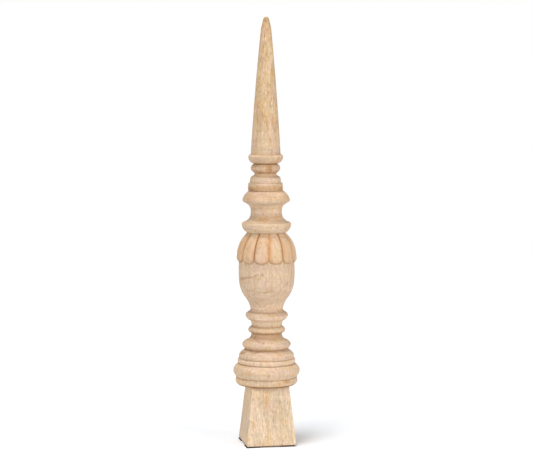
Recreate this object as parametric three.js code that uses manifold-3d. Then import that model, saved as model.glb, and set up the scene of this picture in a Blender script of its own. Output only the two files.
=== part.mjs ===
// A turned and carved wooden finial with a ring of petals on its bulb.
// It stands on a tapered square foot with a felt pad under each corner.
// Millimetres, +Z up, the origin on the ground under the middle of the foot.
import * as THREE from "three";
import { ParametricGeometry } from "three/addons/geometries/ParametricGeometry.js";
import { mergeVertices } from "three/addons/utils/BufferGeometryUtils.js";
import Module from "manifold-3d";

// Driving dimensions

const height = 750;

const pad = { side: 24, thickness: 2, inset: 1.5 };
const foot = { side: 88, topSide: 66, top: 106, rootDepth: 5 };

// The turned mouldings from the foot up, each by its heights and radii.
// A swell is how far a round stretch stands out from the straight line, and a hollow how far it dips.
const disc = { footRadius: 50.4, rimRadius: 54.4, rim: 115, top: 119, topRadius: 53.9, swell: 1.9 };
const wideRoll = { bottomRadius: 53.3, topRadius: 50.9, top: 143, swell: 6.5 };
const band = { radius: 49.8, top: 152.3, swell: 1.3 };
const slopedRing = { radius: 48.4, shoulder: 159, top: 167.5, topRadius: 38.8, swell: 0.7 };
const narrowRoll = { bottomRadius: 39.8, topRadius: 37.8, top: 183.5, swell: 4.4 };
const lowNeck = { radius: 27.1, top: 197.3, hollow: 3 };
const lowBead = { bottomRadius: 29.2, topRadius: 30.2, top: 208.5, swell: 3.6 };
const midNeck = { bottomRadius: 27, bottom: 210.3, topRadius: 28.5, top: 217.8 };
const highBead = { bottomRadius: 33.9, bottom: 221.9, topRadius: 31.2, top: 235.1, swell: 5 };
const bulb = {
  stemRadius: 28.2, stem: 239, waistRadius: 40.1, waist: 263, hollow: 1.8,
  bodyRadius: 48.7, body: 289.5, bodySwell: 1.7, shoulderRadius: 48.9, shoulder: 321, shoulderSwell: 0.6,
};
const lip = {
  footRadius: 34.6, foot: 374.7, rimRadius: 43.4, rim: 389.7, swell: 2.3,
  topRadius: 38, top: 393, topSwell: 1,
};
const cove = { radius: 27.3, middle: 411, top: 427.8, topRadius: 40.8, power: 3, steps: 8 };
const flange = { rimRadius: 42.4, rim: 431, top: 447, topRadius: 30.6, swell: 2.1 };
const lowerRing = { bottomRadius: 31.1, topRadius: 30.3, top: 461.1, swell: 0.2 };
const upperRing = {
  bottomRadius: 27, shoulderRadius: 25.6, shoulder: 471.6, topRadius: 20.5, top: 474.8, swell: 0.6,
};
const highNeck = { radius: 19.2, top: 478.6, hollow: 0.6 };
const topBead = { radius: 19.8, top: 495.7, swell: 6.3 };
const collar = { bottomRadius: 24, rimRadius: 30, rim: 509, top: 510.6, topRadius: 28.6, swell: 2.3 };
const spire = {
  baseRadius: 26.1, upperRadius: 9.2, upper: 727, swell: 1.1,
  pointRadius: 5.4, point: 743.6, pointSwell: 0.3, roundOff: 1.7,
};

// A groove cut between two mouldings: how far it goes in from the smaller of them, and half its width
const groove = { depth: 1.3, halfWidth: 0.5 };

// How far a facet may lie inside a round stretch of the profile, and how many sides a turned ring has
const chordError = 0.2;
const fewestFacets = 2;
const turnedSides = 36;

// The carved petals lie on the bulb under the lip, round its full turn.
const petals = {
  count: 12,
  turnDegrees: -5.8, // a groove's place, from the front towards the right
  top: 377, tipEnd: 323.6, cuspRise: 9.5,
  grooveRadius: 49.2, drawnIn: 20, drawnPower: 2.55, // the grooves' floor follows the bulb in towards the lip
  proud: 3.4, proudAtLip: 1.6, fullFrom: 0.35, // a petal's height over that floor, and where it is full
  endStep: 1.1, endShape: 2.6, sideSoftness: 4, endSoftness: 6,
  rooted: 4, // how far the ring of petals reaches into the bulb
};
const columnsAcrossPetal = [-0.5, -0.44, -0.33, -0.12, 0.12, 0.33, 0.44];
const rowsDownPetal = [0, 0.12, 0.3, 0.5, 0.68, 0.83, 0.94, 1];

// Solids

const wasm = await Module();
wasm.setup();

/** A closed solid from a closed geometry, without the empty triangles at its poles. */
function solidOf(geometry) {
  const bare = geometry.clone();
  bare.deleteAttribute("normal");
  bare.deleteAttribute("uv");
  const merged = mergeVertices(bare, 1e-4);
  const corners = Array.from(merged.index.array);
  const kept = [];
  for (let i = 0; i < corners.length; i += 3) {
    const [a, b, c] = corners.slice(i, i + 3);
    if (a !== b && b !== c && c !== a) {
      kept.push(a, b, c);
    }
  }
  return new wasm.Manifold(new wasm.Mesh({
    numProp: 3,
    vertProperties: new Float32Array(merged.attributes.position.array),
    triVerts: new Uint32Array(kept),
  }));
}

function geometryOf(solid) {
  const mesh = solid.getMesh();
  const geometry = new THREE.BufferGeometry();
  geometry.setAttribute("position", new THREE.BufferAttribute(new Float32Array(mesh.vertProperties), 3));
  geometry.setIndex(new THREE.BufferAttribute(new Uint32Array(mesh.triVerts), 1));
  const faceted = geometry.toNonIndexed();
  faceted.computeVertexNormals();
  return faceted;
}

// The turned profile, drawn from the foot to the point: radius first, then height

/** A line drawn with a turner's moves: straight, round outwards, round inwards, and a groove. */
class Profile {
  constructor() {
    this.points = [];
  }

  to(radius, z) {
    this.points.push(new THREE.Vector2(radius, z));
    return this;
  }

  /** A round stretch to (radius, z) that stands out by the swell, or dips in where it is negative. */
  bow(radius, z, swell) {
    const steps = Math.max(fewestFacets, Math.ceil(Math.sqrt(Math.abs(swell) / chordError)));
    const start = this.points.at(-1);
    const end = new THREE.Vector2(radius, z);
    const out = new THREE.Vector2(end.y - start.y, start.x - end.x).normalize();
    const middle = start.clone().lerp(end, 0.5).addScaledVector(out, 2 * swell);
    const curve = new THREE.QuadraticBezierCurve(start, middle, end);
    this.points.push(...curve.getPoints(steps).slice(1));
    return this;
  }

  /** A narrow cut at height z, inside the smaller of the two radii beside it. */
  cut(radiusBelow, radiusAbove, z) {
    this.to(Math.min(radiusBelow, radiusAbove) - groove.depth, z);
    return this;
  }
}

/** The cove's own line: nearly upright in its middle and sweeping out to both edges. */
function coveRadius(z) {
  const low = z < cove.middle;
  const reach = low ? cove.middle - lip.top : cove.top - cove.middle;
  const edge = low ? lip.topRadius : cove.topRadius;
  return cove.radius + (edge - cove.radius) * (Math.abs(z - cove.middle) / reach) ** cove.power;
}

function drawBase(profile) {
  const lift = groove.halfWidth;
  profile
    .to(0, foot.top)
    .to(disc.footRadius, foot.top)
    .bow(disc.rimRadius, disc.rim, disc.swell)
    .to(disc.topRadius, disc.top - lift)
    .cut(disc.topRadius, wideRoll.bottomRadius, disc.top)
    .to(wideRoll.bottomRadius, disc.top + lift)
    .bow(wideRoll.topRadius, wideRoll.top - lift, wideRoll.swell)
    .cut(wideRoll.topRadius, band.radius, wideRoll.top)
    .to(band.radius, wideRoll.top + lift)
    .bow(band.radius, band.top - lift, band.swell)
    .cut(band.radius, slopedRing.radius, band.top)
    .to(slopedRing.radius, band.top + lift)
    .to(slopedRing.radius, slopedRing.shoulder)
    .bow(slopedRing.topRadius, slopedRing.top, slopedRing.swell)
    .cut(slopedRing.topRadius, narrowRoll.bottomRadius, slopedRing.top + lift)
    .to(narrowRoll.bottomRadius, slopedRing.top + 3 * lift)
    .bow(narrowRoll.topRadius, narrowRoll.top, narrowRoll.swell);
}

function drawBeads(profile) {
  const lift = groove.halfWidth;
  profile
    .bow(lowNeck.radius, lowNeck.top - lift, -lowNeck.hollow)
    .to(lowBead.bottomRadius, lowNeck.top)
    .bow(lowBead.topRadius, lowBead.top, lowBead.swell)
    .to(midNeck.bottomRadius, midNeck.bottom)
    .to(midNeck.topRadius, midNeck.top)
    .to(highBead.bottomRadius, highBead.bottom)
    .bow(highBead.topRadius, highBead.top, highBead.swell);
}

/** The bulb, which narrows under the petals so that only they show there. */
function drawBulb(profile) {
  const underPetals = petals.tipEnd + petals.cuspRise + petals.rooted;
  const core = petals.grooveRadius - petals.drawnIn - petals.rooted;
  profile
    .to(bulb.stemRadius, bulb.stem)
    .bow(bulb.waistRadius, bulb.waist, -bulb.hollow)
    .bow(bulb.bodyRadius, bulb.body, bulb.bodySwell)
    .bow(bulb.shoulderRadius, bulb.shoulder, bulb.shoulderSwell)
    .to(grooveRadius(underPetals) - petals.endStep, underPetals)
    .to(core, petals.top - petals.rooted)
    .to(core, lip.foot);
}

function drawLipAndFlange(profile) {
  profile
    .to(lip.footRadius, lip.foot)
    .bow(lip.rimRadius, lip.rim, lip.swell)
    .bow(lip.topRadius, lip.top, lip.topSwell);
  for (let i = 1; i <= cove.steps; i++) {
    const closerAtEdges = 0.5 - 0.5 * Math.cos((Math.PI * i) / cove.steps);
    const z = THREE.MathUtils.lerp(lip.top, cove.top, closerAtEdges);
    profile.to(coveRadius(z), z);
  }
  profile
    .to(flange.rimRadius, flange.rim)
    .bow(flange.topRadius, flange.top, flange.swell);
}

function drawRings(profile) {
  const lift = groove.halfWidth;
  profile
    .cut(flange.topRadius, lowerRing.bottomRadius, flange.top + lift)
    .to(lowerRing.bottomRadius, flange.top + 2 * lift)
    .bow(lowerRing.topRadius, lowerRing.top, lowerRing.swell)
    .to(upperRing.bottomRadius, lowerRing.top)
    .bow(upperRing.shoulderRadius, upperRing.shoulder, upperRing.swell)
    .to(upperRing.topRadius, upperRing.top)
    .bow(highNeck.radius, highNeck.top, -highNeck.hollow)
    .bow(topBead.radius, topBead.top, topBead.swell)
    .to(collar.bottomRadius, topBead.top + lift)
    .bow(collar.rimRadius, collar.rim, collar.swell)
    .to(collar.topRadius, collar.top);
}

function drawSpire(profile) {
  profile
    .to(spire.baseRadius, collar.top)
    .bow(spire.upperRadius, spire.upper, spire.swell)
    .bow(spire.pointRadius, spire.point, spire.pointSwell)
    .bow(0, height, spire.roundOff);
}

function spindle() {
  const profile = new Profile();
  drawBase(profile);
  drawBeads(profile);
  drawBulb(profile);
  drawLipAndFlange(profile);
  drawRings(profile);
  drawSpire(profile);
  return new THREE.LatheGeometry(profile.points, turnedSides).rotateX(Math.PI / 2);
}

// The carved petals

/** The radius of the grooves' floor between the petals, which is where the bulb's own surface would be. */
function grooveRadius(z) {
  const rise = (z - bulb.shoulder) / (petals.top - bulb.shoulder);
  return petals.grooveRadius - petals.drawnIn * Math.max(rise, 0) ** petals.drawnPower;
}

/** How high a petal ends, across its width: a full round end, rising to the cusps between petals. */
function petalEnd(across) {
  const round = 1 - (1 - Math.abs(2 * across) ** petals.endShape) ** (1 / petals.endShape);
  return petals.tipEnd + petals.cuspRise * round;
}

/** One point of a petal's face: across from -0.5 to 0.5, down from 0 at the lip to 1 at its end. */
function petalPoint(across, down) {
  const z = THREE.MathUtils.lerp(petals.top, petalEnd(across), down);
  const base = grooveRadius(z);
  const toSide = (0.5 - Math.abs(across)) * ((2 * Math.PI * base) / petals.count);
  const toEnd = (1 - down) * (petals.top - petals.tipEnd);
  const soften = (distance, width) => 1 - (1 - Math.min(distance / width, 1)) ** 2;
  const depth = THREE.MathUtils.lerp(petals.proudAtLip, petals.proud, Math.min(down / petals.fullFrom, 1));
  const height = depth * soften(toSide, petals.sideSoftness);
  const rolled = THREE.MathUtils.lerp(petals.endStep, height, soften(toEnd, petals.endSoftness));
  return { radius: base + Math.min(height, rolled), z };
}

/** The ring of petals as one closed solid: its carved face, and a core that lies inside the bulb. */
function petalRing() {
  const columns = petals.count * columnsAcrossPetal.length;
  const faceRows = rowsDownPetal.length;
  const turn = THREE.MathUtils.degToRad(petals.turnDegrees);
  const surface = (v, u, target) => {
    const column = Math.round(u * columns) % columns;
    const row = Math.round(v * (faceRows + 2)) - 1;
    const petal = Math.floor(column / columnsAcrossPetal.length);
    const across = columnsAcrossPetal[column % columnsAcrossPetal.length];
    const angle = turn - Math.PI / 2 + ((petal + 0.5 + across) * 2 * Math.PI) / petals.count;
    const down = rowsDownPetal[THREE.MathUtils.clamp(row, 0, faceRows - 1)];
    let { radius, z } = petalPoint(across, down);
    if (row === faceRows) {
      radius = grooveRadius(z) - petals.rooted;
    } else if (row < 0 || row > faceRows) {
      radius = 0;
      z = row < 0 ? petals.top : petals.tipEnd + petals.cuspRise;
    }
    target.set(radius * Math.cos(angle), radius * Math.sin(angle), z);
  };
  return new ParametricGeometry(surface, faceRows + 2, columns);
}

// The foot and its pads

function footBlock() {
  const slope = (foot.side - foot.topSide) / (foot.top - pad.thickness);
  const rootSide = foot.topSide - slope * foot.rootDepth;
  const tall = foot.top + foot.rootDepth - pad.thickness;
  return new THREE.CylinderGeometry(rootSide / Math.SQRT2, foot.side / Math.SQRT2, tall, 4)
    .rotateY(Math.PI / 4)
    .rotateX(Math.PI / 2)
    .translate(0, 0, pad.thickness + tall / 2);
}

const wood = new THREE.MeshStandardMaterial({ color: 0xdfc09b, roughness: 0.72, metalness: 0 });
const felt = new THREE.MeshStandardMaterial({ color: 0x2b2622, roughness: 0.95, metalness: 0 });

function namedMesh(name, geometry, material) {
  const mesh = new THREE.Mesh(geometry, material.clone());
  mesh.name = name;
  return mesh;
}

const finial = new THREE.Group();

const carved = solidOf(spindle()).add(solidOf(petalRing())).add(solidOf(footBlock()));
finial.add(namedMesh("finial", geometryOf(carved), wood));

const padReach = foot.side / 2 - pad.inset - pad.side / 2;
const padCorners = [
  ["felt_pad_front_left", -1, -1],
  ["felt_pad_front_right", 1, -1],
  ["felt_pad_back_left", -1, 1],
  ["felt_pad_back_right", 1, 1],
];
for (const [name, x, y] of padCorners) {
  const mesh = namedMesh(name, new THREE.BoxGeometry(pad.side, pad.side, pad.thickness), felt);
  mesh.position.set(x * padReach, y * padReach, pad.thickness / 2);
  finial.add(mesh);
}

export default finial;
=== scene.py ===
# Turned wooden finial with carved petals, on a square foot with felt pads
import math
import bpy
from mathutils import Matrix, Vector


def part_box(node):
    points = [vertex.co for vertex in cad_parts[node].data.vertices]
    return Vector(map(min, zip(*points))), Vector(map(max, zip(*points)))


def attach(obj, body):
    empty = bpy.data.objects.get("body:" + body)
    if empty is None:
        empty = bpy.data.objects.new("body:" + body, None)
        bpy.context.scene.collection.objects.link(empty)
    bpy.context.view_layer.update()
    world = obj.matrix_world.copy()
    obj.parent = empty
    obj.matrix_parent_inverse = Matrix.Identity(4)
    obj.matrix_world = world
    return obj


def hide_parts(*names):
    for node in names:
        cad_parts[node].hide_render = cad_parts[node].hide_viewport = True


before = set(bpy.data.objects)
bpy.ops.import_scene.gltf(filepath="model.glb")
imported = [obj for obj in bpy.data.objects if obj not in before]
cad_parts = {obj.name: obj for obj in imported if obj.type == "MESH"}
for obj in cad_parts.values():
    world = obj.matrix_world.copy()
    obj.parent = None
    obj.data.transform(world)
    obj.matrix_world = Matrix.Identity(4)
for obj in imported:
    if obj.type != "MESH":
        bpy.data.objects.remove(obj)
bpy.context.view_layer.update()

scene = bpy.context.scene
scene.view_settings.view_transform = "Standard"
millimetre = 0.001


def pointAround(azimuth, elevation, distance=1.0):
    # azimuth 0 is in front of the finial, 90 on its right
    a = math.radians(azimuth)
    e = math.radians(elevation)
    return Vector((math.sin(a) * math.cos(e), -math.cos(a) * math.cos(e), math.sin(e))) * distance


def addObject(name, data):
    made = bpy.data.objects.new(name, data)
    scene.collection.objects.link(made)
    return made


def addMesh(name, points, edges=(), faces=()):
    mesh = bpy.data.meshes.new(name)
    mesh.from_pydata(points, edges, faces)
    return addObject(name, mesh)


# Camera, as the photograph was taken

photoView = {
    "azimuth": -10.49,
    "distance": 3286,  # from the turning axis, level
    "height": 710,
    "pitchDown": 5.81,
    "focalPixels": 1884,
    "pictureWidth": 533,
    "sensorWidth": 36,
}


def makeCamera(view):
    data = bpy.data.cameras.new("photoCamera")
    data.sensor_width = view["sensorWidth"]
    data.lens = view["sensorWidth"] * view["focalPixels"] / view["pictureWidth"]
    camera = addObject("photoCamera", data)
    camera.location = pointAround(view["azimuth"], 0, view["distance"] * millimetre)
    camera.location.z = view["height"] * millimetre
    forward = -pointAround(view["azimuth"], view["pitchDown"])
    camera.rotation_euler = forward.to_track_quat("-Z", "Y").to_euler()
    scene.camera = camera


makeCamera(photoView)
print("camera set")


# Nodes

# A method that adds a math node, with the field's own number first, or last where it is swapped
def mathNode(operation, swapped=False):
    def method(field, *others):
        values = (*others, field) if swapped else (field, *others)
        return sums(field.tree, operation, *values)
    return method


# A Field is a number that a node tree works out for each point. It adds and multiplies as plain numbers do
class Field:
    def __init__(self, tree, socket):
        self.tree = tree
        self.socket = socket

    __add__ = mathNode("ADD")
    __radd__ = mathNode("ADD", swapped=True)
    __sub__ = mathNode("SUBTRACT")
    __rsub__ = mathNode("SUBTRACT", swapped=True)
    __mul__ = mathNode("MULTIPLY")
    __rmul__ = mathNode("MULTIPLY", swapped=True)
    __truediv__ = mathNode("DIVIDE")
    __rtruediv__ = mathNode("DIVIDE", swapped=True)
    __pow__ = mathNode("POWER")
    __abs__ = mathNode("ABSOLUTE")
    floor = mathNode("FLOOR")
    remainder = mathNode("FLOORED_MODULO")
    pingPong = mathNode("PINGPONG")
    sin = mathNode("SINE")
    cos = mathNode("COSINE")
    arcTan = mathNode("ARCTANGENT")
    atMost = mathNode("MINIMUM")
    atLeast = mathNode("MAXIMUM")
    above = mathNode("GREATER_THAN")
    below = mathNode("LESS_THAN")

    # 1 right at nothing, and 0 from the width on
    def fade(self, width):
        return (1 - abs(self) / width).atLeast(0)

    # 0 at nothing, rising fast and then level at 1 from the width on
    def soften(self, width):
        return 1 - (1 - (self / width).atMost(1)) ** 2


def connect(tree, socket, value):
    if isinstance(value, Field):
        value = value.socket
    if isinstance(value, bpy.types.NodeSocket):
        tree.links.new(value, socket)
    else:
        socket.default_value = value


def addNode(tree, kind, inputs=None, **settings):
    node = tree.nodes.new(kind)
    for name, value in settings.items():
        setattr(node, name, value)
    for name, value in (inputs or {}).items():
        connect(tree, node.inputs[name], value)
    return node


def sums(tree, operation, *values):
    node = addNode(tree, "ShaderNodeMath", operation=operation)
    for socket, value in zip(node.inputs, values):
        connect(tree, socket, value)
    return Field(tree, node.outputs[0])


def vectorSums(tree, operation, first, second):
    return addNode(tree, "ShaderNodeVectorMath", {0: first, 1: second}, operation=operation).outputs[0]


def between(start, end, share):
    return start + (end - start) * share


def choose(test, chosen, otherwise):
    return otherwise + (chosen - otherwise) * test


def separate(tree, vector):
    node = addNode(tree, "ShaderNodeSeparateXYZ", {0: vector})
    return [Field(tree, socket) for socket in node.outputs]


def combine(tree, x, y, z):
    return addNode(tree, "ShaderNodeCombineXYZ", {0: x, 1: y, 2: z}).outputs[0]


# Rows and columns, so that the tree can be read when it is opened
def layOut(tree):
    perRow = 14
    for number, node in enumerate(tree.nodes):
        node.location = (220 * (number % perRow), -260 * (number // perRow))


# "grooveCut" stands on the tree as "Groove cut"
def inputLabel(name):
    return "".join(" " + letter if letter.isupper() else letter for letter in name).capitalize()


socketKinds = {
    int: "NodeSocketInt", float: "NodeSocketFloat",
    bpy.types.Material: "NodeSocketMaterial", bpy.types.Object: "NodeSocketObject",
}


def newGeometryTree(treeName, values):
    tree = bpy.data.node_groups.new(treeName, "GeometryNodeTree")
    tree.interface.new_socket("Geometry", in_out="INPUT", socket_type="NodeSocketGeometry")
    for name, value in values.items():
        tree.interface.new_socket(inputLabel(name), in_out="INPUT", socket_type=socketKinds[type(value)])
    tree.interface.new_socket("Geometry", in_out="OUTPUT", socket_type="NodeSocketGeometry")
    return tree


def endGeometryTree(tree, geometry, material):
    real = addNode(tree, "GeometryNodeRealizeInstances", {"Geometry": geometry})
    dressed = addNode(tree, "GeometryNodeSetMaterial", {"Geometry": real.outputs[0], "Material": material})
    addNode(tree, "NodeGroupOutput", {"Geometry": dressed.outputs[0]})
    layOut(tree)
    return tree


# The tree's result as a plain mesh of its own, with the drawn mesh and the modifier gone
def runTree(tree, drawn, values, pieceName):
    modifier = drawn.modifiers.new(tree.name, "NODES")
    modifier.node_group = tree
    labelled = {inputLabel(name): value for name, value in values.items()}
    for item in tree.interface.items_tree:
        if item.in_out == "INPUT" and item.name in labelled:
            modifier[item.identifier] = labelled[item.name]
    depsgraph = bpy.context.evaluated_depsgraph_get()
    mesh = bpy.data.meshes.new_from_object(
        drawn.evaluated_get(depsgraph), preserve_all_data_layers=True, depsgraph=depsgraph)
    mesh.name = pieceName
    piece = addObject(pieceName, mesh)
    bpy.data.objects.remove(drawn)
    print(pieceName, len(mesh.polygons), "faces")
    return piece


def newMaterial(name):
    material = bpy.data.materials.new(name)
    material.use_nodes = True
    material.node_tree.nodes.clear()
    return material, material.node_tree


def endMaterial(tree, surfaceInputs):
    surface = addNode(tree, "ShaderNodeBsdfPrincipled", surfaceInputs)
    addNode(tree, "ShaderNodeOutputMaterial", {"Surface": surface.outputs[0]})
    layOut(tree)


def colourMix(tree, share, low, high, blend="MIX"):
    node = addNode(tree, "ShaderNodeMix", {0: share, 6: low, 7: high}, data_type="RGBA", blend_type=blend)
    return node.outputs[2]


def stretched(tree, vector, scale, location=(0, 0, 0), rotation=(0, 0, 0)):
    node = addNode(tree, "ShaderNodeMapping",
                   {"Vector": vector, "Location": location, "Rotation": rotation, "Scale": scale})
    return node.outputs[0]


def noise(tree, vector, scale, detail=2.0, roughness=0.5):
    return addNode(tree, "ShaderNodeTexNoise",
                   {"Vector": vector, "Scale": scale, "Detail": detail, "Roughness": roughness}).outputs


def stepped(tree, value, low, high):
    node = addNode(tree, "ShaderNodeMapRange", {"Value": value, "From Min": low, "From Max": high},
                   interpolation_type="SMOOTHSTEP")
    return Field(tree, node.outputs[0])


def shade(tree, value, darkest, lightest, low=0.3, high=0.7):
    node = addNode(tree, "ShaderNodeMapRange",
                   {"Value": value, "From Min": low, "From Max": high, "To Min": darkest, "To Max": lightest})
    return node.outputs[0]


# Wood

woodLook = {
    "cream": (0.638, 0.486, 0.352, 1),
    "tan": (0.525, 0.370, 0.240, 1),
    "orange": (0.600, 0.368, 0.183, 1),
    "pink": (0.624, 0.442, 0.336, 1),
    "straw": (0.620, 0.460, 0.285, 1),
    "brown": (0.32, 0.190, 0.100, 1),
    "amber": (0.500, 0.255, 0.095, 1),
    # the next colour is painted light, lightening and warming the foot's left face
    "warm": (0.720, 0.490, 0.300, 1),
    "even": (0.600, 0.442, 0.308, 1),  # the mean tone, that calms the streaks
    "evenShare": 0.25,
    "late": (0.86, 0.77, 0.66, 1),  # multiplies the colour in the dark edge of each growth ring
    "pore": (0.66, 0.54, 0.42, 1),  # multiplies it in the pores
    "poreShare": 0.9, "poreDepth": 0.6, "poreEdge": (0.08, 0.34), "poreStretch": (1, 1, 0.22),
    # the crease colour paints shade in the cuts, grooves and hollows, with some finish gathered there
    "creaseColour": (0.235, 0.105, 0.040, 1), "creaseStrength": 0.62,
    "grooveTint": (0.95, 0.74, 0.52, 1),
    "stain": (0.84, 0.71, 0.55, 1),  # multiplies it in the necks and hollows: painted shade, with some finish gathered there
    # the next tint is painted shade beside the petals' grooves, in a warm tone
    "petalTint": (0.995, 0.95, 0.885, 1),
    "spireTint": (1.0, 0.965, 0.86, 1),
    "footTint": (1.01, 1.05, 1.04, 1),
    # the next tint multiplies it where light is painted: highlights along the foot's edges, and the pale
    # bands
    "paintedLightTint": (1.135, 1.155, 1.15, 1),
    # the heights between which the wood changes from one part to the next
    "footEdge": (80, 150), "bulbBottom": (236, 252), "bulbTop": (376, 378), "spireBottom": (500, 570),
    "bulbKeeps": 0.6,  # of the upright grain, where the other turned parts look level
    "pith": (26, 74, 0),  # where the middle of the tree was, in millimetres from the axis
    "ringWidth": 8.5, "waveLength": 0.314,  # the second is a wave texture's own, at a scale of 1
    "ringShare": {"everywhere": 0.2, "spire": 0.35, "turned": 0.25},
    "ringEdge": (0.4, 1.0), "ringStretch": (1, 1, 0.03),
    "figureShare": 0.26, "figureEdge": (0.55, 1.0), "figureStretch": (1, 1, 0.7), "figureTurn": (0.5, 0.4, 0),
    "roughness": 0.66, "roughnessVaries": 0.06,
    "bumpStrength": 0.35, "bumpHeight": 0.0002,
}

# Noises in the wood: how each is stretched along x, y and z, its scale, where its light part begins and is
# full, how dark and how light it makes the colour, and how much it shows on each part
grain = {
    "wander": {"stretch": (1, 1, 0.3), "scale": 0.03, "detail": 3, "reach": (24, 24, 0)},
    "ragged": {"stretch": (1, 1, 1), "scale": 0.22, "detail": 3, "roughness": 0.6, "reach": (7, 7, 7)},
    "streak": {"stretch": (1, 1, 0.05), "scale": 0.13, "detail": 3, "roughness": 0.6, "light": (0.36, 0.66),
               "calmTo": 0.45, "calmed": 0.5},
    "figured": {"stretch": (1, 1, 0.7), "scale": 0.035, "light": (0.48, 0.6)},
    "poreAreas": {"stretch": (1, 1, 0.5), "scale": 0.12, "light": (0.46, 0.6)},
    "lathe": {"stretch": (0.05, 0.05, 1), "scale": 0.55, "detail": 3, "roughness": 0.6,
              "shade": (0.88, 1.09), "shows": {"lathe": 1.0}},
    "broad": {"stretch": (0.1, 0.1, 1), "scale": 0.13, "shade": (0.88, 1.08), "shows": {"lathe": 0.8}},
    "speck": {"stretch": (1, 1, 0.7), "scale": 0.34, "roughness": 0.6,
              "shade": (0.87, 1.09), "shows": {"everywhere": 1.0, "petals": -0.5}},
    "fibre": {"stretch": (1, 1, 0.2), "scale": 0.55, "detail": 3, "roughness": 0.65, "shade": (0.86, 1.11),
              "shows": {"everywhere": 1.0, "turned": -0.5, "lathe": -0.25, "petals": -0.15}},
    "thread": {"stretch": (1, 1, 0.03), "scale": 0.5, "roughness": 0.6,
               "shade": (0.83, 1.14), "shows": {"everywhere": 0.95, "turned": -0.8}},
    "strand": {"stretch": (1, 1, 0.02), "scale": 0.95, "roughness": 0.6,
               "shade": (0.81, 1.18), "shows": {"spire": 1.0}},
}

# Patches of tone: the colour, the scale, where a patch begins and is full, its strength, and a shift that
# keeps it apart from the others
tones = {
    "upright": [
        ("pink", 0.050, 0.46, 0.58, 0.85, 0), ("straw", 0.055, 0.47, 0.60, 0.75, 90),
        ("orange", 0.09, 0.53, 0.68, 0.50, 200), ("tan", 0.12, 0.50, 0.64, 0.45, 310),
        ("cream", 0.12, 0.51, 0.63, 0.65, 430)],
    "uprightStretch": (1, 1, 0.45),
    "uprightShows": {"everywhere": 1.0, "lathe": -0.55},
    "level": [
        ("pink", 0.10, 0.47, 0.58, 0.65, 520), ("straw", 0.11, 0.48, 0.60, 0.55, 610),
        ("orange", 0.13, 0.54, 0.68, 0.45, 700), ("cream", 0.14, 0.50, 0.62, 0.55, 790)],
    "levelStretch": (0.3, 0.3, 1),
    "levelShows": {"lathe": 1.0},
}

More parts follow.
